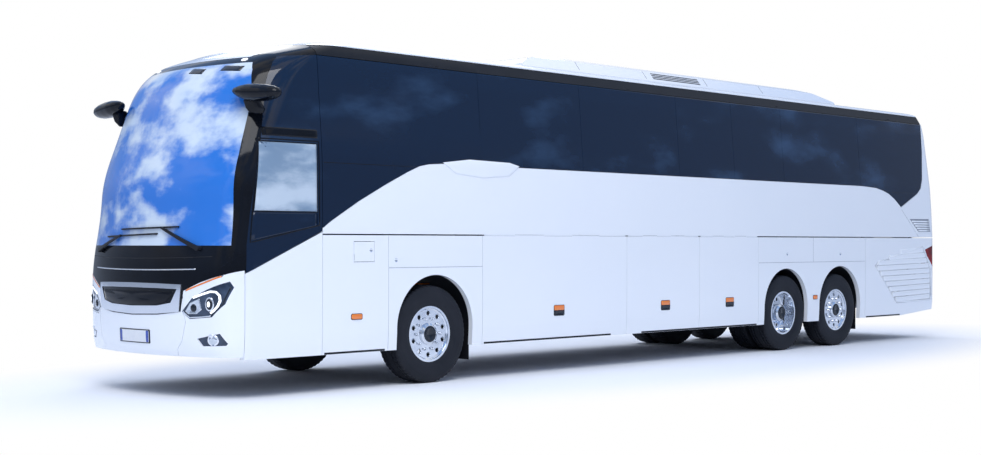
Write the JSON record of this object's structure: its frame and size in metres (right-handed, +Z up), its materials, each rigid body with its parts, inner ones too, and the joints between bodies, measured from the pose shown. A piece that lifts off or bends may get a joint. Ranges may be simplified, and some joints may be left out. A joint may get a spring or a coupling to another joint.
{
  "type": "touring coach",
  "caption": "Three-axle high-floor touring coach with tinted side glass, luggage flaps, passenger doors and a roof unit.",
  "frame": {"origin": "on the ground under the middle of the coach", "axes": "+Z up, -Y towards the front, +X to the coach's left"},
  "size_m": [3.22, 13.9446, 3.7648],
  "materials": {
    "white_paint": "gloss white paint",
    "black_gloss": "gloss black",
    "dark_glass": "dark tinted glass",
    "screen_glass": "clear laminated glass",
    "chrome_trim": "bright chrome",
    "lamp": "clear lamp lens",
    "tail_lamp": "dark red lamp lens",
    "tyre": "black rubber",
    "alloy": "polished aluminium",
    "steel_black": "black painted steel",
    "black_plastic": "matt black plastic",
    "rubber": "black rubber",
    "floor": "grey floor covering",
    "trim": "grey cabin trim",
    "seat": "dark blue cloth",
    "engine": "cast iron"
  },
  "bodies": {
    "coach": {"windscreen": "screen_glass", "nose_frame": "black_gloss", "front_mask": "black_gloss", "front_trim": "chrome_trim", "bumpers": "white_paint", "front_lamps": "lamp", "side_glass": "dark_glass", "side_frames": "black_plastic", "belt_panels": "white_paint", "skirts": "white_paint", "tail_lamps": "tail_lamp", "engine_grilles": "black_plastic", "tail_shell": "white_paint", "roof": "white_paint", "roof_unit": "white_paint", "floors": "floor", "entry_steps": "floor", "hold_floor": "floor", "wipers": "black_plastic", "chassis_frame": "steel_black", "engine_block": "engine", "front_axle": "steel_black", "tag_axle": "steel_black", "drive_axle": "steel_black", "wheel_housings": "black_plastic", "mud_flaps": "rubber", "camera_wings": "black_gloss", "dashboard": "black_plastic", "seats": "seat", "luggage_racks": "trim"},
    "front_steer_left": {"front_knuckle_left": "steel_black"},
    "front_wheel_left": {"front_tyre_left": "tyre", "front_rim_left": "alloy"},
    "tag_steer_left": {"tag_knuckle_left": "steel_black"},
    "tag_wheel_left": {"tag_tyre_left": "tyre", "tag_rim_left": "alloy"},
    "drive_wheels_left": {"drive_tyres_left": "tyre", "drive_rims_left": "alloy"},
    "front_steer_right": {"front_knuckle_right": "steel_black"},
    "front_wheel_right": {"front_tyre_right": "tyre", "front_rim_right": "alloy"},
    "tag_steer_right": {"tag_knuckle_right": "steel_black"},
    "tag_wheel_right": {"tag_tyre_right": "tyre", "tag_rim_right": "alloy"},
    "drive_wheels_right": {"drive_tyres_right": "tyre", "drive_rims_right": "alloy"},
    "steering_wheel": {"steering_wheel": "black_plastic"},
    "luggage_flap_left_1": {"luggage_flap_left_1": "white_paint"},
    "luggage_flap_left_2": {"luggage_flap_left_2": "white_paint"},
    "luggage_flap_left_3": {"luggage_flap_left_3": "white_paint"},
    "luggage_flap_right_1": {"luggage_flap_right_1": "white_paint"},
    "luggage_flap_right_2": {"luggage_flap_right_2": "white_paint"},
    "fuel_flap": {"fuel_flap": "white_paint"},
    "engine_door": {"engine_door": "white_paint"},
    "front_door_arm": {"front_door_arm": "steel_black"},
    "front_door_leaf": {"front_door_leaf": "white_paint", "front_door_glass": "dark_glass"},
    "middle_door_arm": {"middle_door_arm": "steel_black"},
    "middle_door_leaf": {"middle_door_leaf": "white_paint", "middle_door_glass": "dark_glass"}
  },
  "joints": [
    {"name": "front_steer_left", "type": "hinge", "parent": "coach", "child": "front_steer_left", "pos_m": [0.93, -4.0775, 0.522], "axis": [0, 0, 1], "range_deg": [-40, 40]},
    {"name": "front_wheel_left_spin", "type": "hinge", "parent": "front_steer_left", "child": "front_wheel_left", "pos_m": [1.086, -4.0775, 0.522], "axis": [1, 0, 0], "continuous": true},
    {"name": "tag_steer_left", "type": "hinge", "parent": "coach", "child": "tag_steer_left", "pos_m": [0.93, 4.0625, 0.522], "axis": [0, 0, 1], "range_deg": [-14, 14]},
    {"name": "tag_wheel_left_spin", "type": "hinge", "parent": "tag_steer_left", "child": "tag_wheel_left", "pos_m": [1.086, 4.0625, 0.522], "axis": [1, 0, 0], "continuous": true},
    {"name": "drive_wheels_left_spin", "type": "hinge", "parent": "coach", "child": "drive_wheels_left", "pos_m": [1.086, 2.6925, 0.522], "axis": [1, 0, 0], "continuous": true},
    {"name": "front_steer_right", "type": "hinge", "parent": "coach", "child": "front_steer_right", "pos_m": [-0.93, -4.0775, 0.522], "axis": [0, 0, 1], "range_deg": [-40, 40]},
    {"name": "front_wheel_right_spin", "type": "hinge", "parent": "front_steer_right", "child": "front_wheel_right", "pos_m": [-1.086, -4.0775, 0.522], "axis": [1, 0, 0], "continuous": true},
    {"name": "tag_steer_right", "type": "hinge", "parent": "coach", "child": "tag_steer_right", "pos_m": [-0.93, 4.0625, 0.522], "axis": [0, 0, 1], "range_deg": [-14, 14]},
    {"name": "tag_wheel_right_spin", "type": "hinge", "parent": "tag_steer_right", "child": "tag_wheel_right", "pos_m": [-1.086, 4.0625, 0.522], "axis": [1, 0, 0], "continuous": true},
    {"name": "drive_wheels_right_spin", "type": "hinge", "parent": "coach", "child": "drive_wheels_right", "pos_m": [-1.086, 2.6925, 0.522], "axis": [1, 0, 0], "continuous": true},
    {"name": "steering_wheel_turn", "type": "hinge", "parent": "coach", "child": "steering_wheel", "pos_m": [0.6, -5.9075, 1.69], "axis": [0, 0.4695, 0.8829], "range_deg": [-720, 720]},
    {"name": "luggage_flap_left_1_lift", "type": "hinge", "parent": "coach", "child": "luggage_flap_left_1", "pos_m": [1.27, -2.0825, 1.58], "axis": [0, -1, 0], "range_deg": [0, 88]},
    {"name": "luggage_flap_left_2_lift", "type": "hinge", "parent": "coach", "child": "luggage_flap_left_2", "pos_m": [1.27, -0.0855, 1.58], "axis": [0, -1, 0], "range_deg": [0, 88]},
    {"name": "luggage_flap_left_3_lift", "type": "hinge", "parent": "coach", "child": "luggage_flap_left_3", "pos_m": [1.27, 1.3275, 1.58], "axis": [0, -1, 0], "range_deg": [0, 88]},
    {"name": "luggage_flap_right_1_lift", "type": "hinge", "parent": "coach", "child": "luggage_flap_right_1", "pos_m": [-1.27, -2.0825, 1.58], "axis": [0, 1, 0], "range_deg": [0, 88]},
    {"name": "luggage_flap_right_2_lift", "type": "hinge", "parent": "coach", "child": "luggage_flap_right_2", "pos_m": [-1.27, -0.0855, 1.58], "axis": [0, 1, 0], "range_deg": [0, 88]},
    {"name": "fuel_flap_swing", "type": "hinge", "parent": "coach", "child": "fuel_flap", "pos_m": [1.27, -5.1965, 1.406], "axis": [0, 0, -1], "range_deg": [0, 100]},
    {"name": "engine_door_lift", "type": "hinge", "parent": "coach", "child": "engine_door", "pos_m": [0, 6.9585, 1.58], "axis": [1, 0, 0], "range_deg": [0, 88]},
    {"name": "front_door_swing", "type": "hinge", "parent": "coach", "child": "front_door_arm", "pos_m": [-1.12, -6.3675, 1.4], "axis": [0, 0, 1], "range_deg": [0, 100]},
    {"name": "front_door_leaf_turn", "type": "hinge", "parent": "front_door_arm", "child": "front_door_leaf", "pos_m": [-1.12, -5.8075, 1.4], "axis": [0, 0, 1], "range_deg": [-100, 0]},
    {"name": "middle_door_swing", "type": "hinge", "parent": "coach", "child": "middle_door_arm", "pos_m": [-1.12, 1.5925, 1.4], "axis": [0, 0, -1], "range_deg": [0, 100]},
    {"name": "middle_door_leaf_turn", "type": "hinge", "parent": "middle_door_arm", "child": "middle_door_leaf", "pos_m": [-1.12, 1.0325, 1.4], "axis": [0, 0, -1], "range_deg": [-100, 0]}
  ],
  "couplings": [
    {"joint": "front_steer_right", "follows": "front_steer_left", "ratio": 1},
    {"joint": "tag_steer_left", "follows": "front_steer_left", "ratio": -0.35},
    {"joint": "tag_steer_right", "follows": "front_steer_left", "ratio": -0.35},
    {"joint": "steering_wheel_turn", "follows": "front_steer_left", "ratio": 18},
    {"joint": "front_door_leaf_turn", "follows": "front_door_swing", "ratio": -1},
    {"joint": "middle_door_leaf_turn", "follows": "middle_door_swing", "ratio": -1}
  ]
}
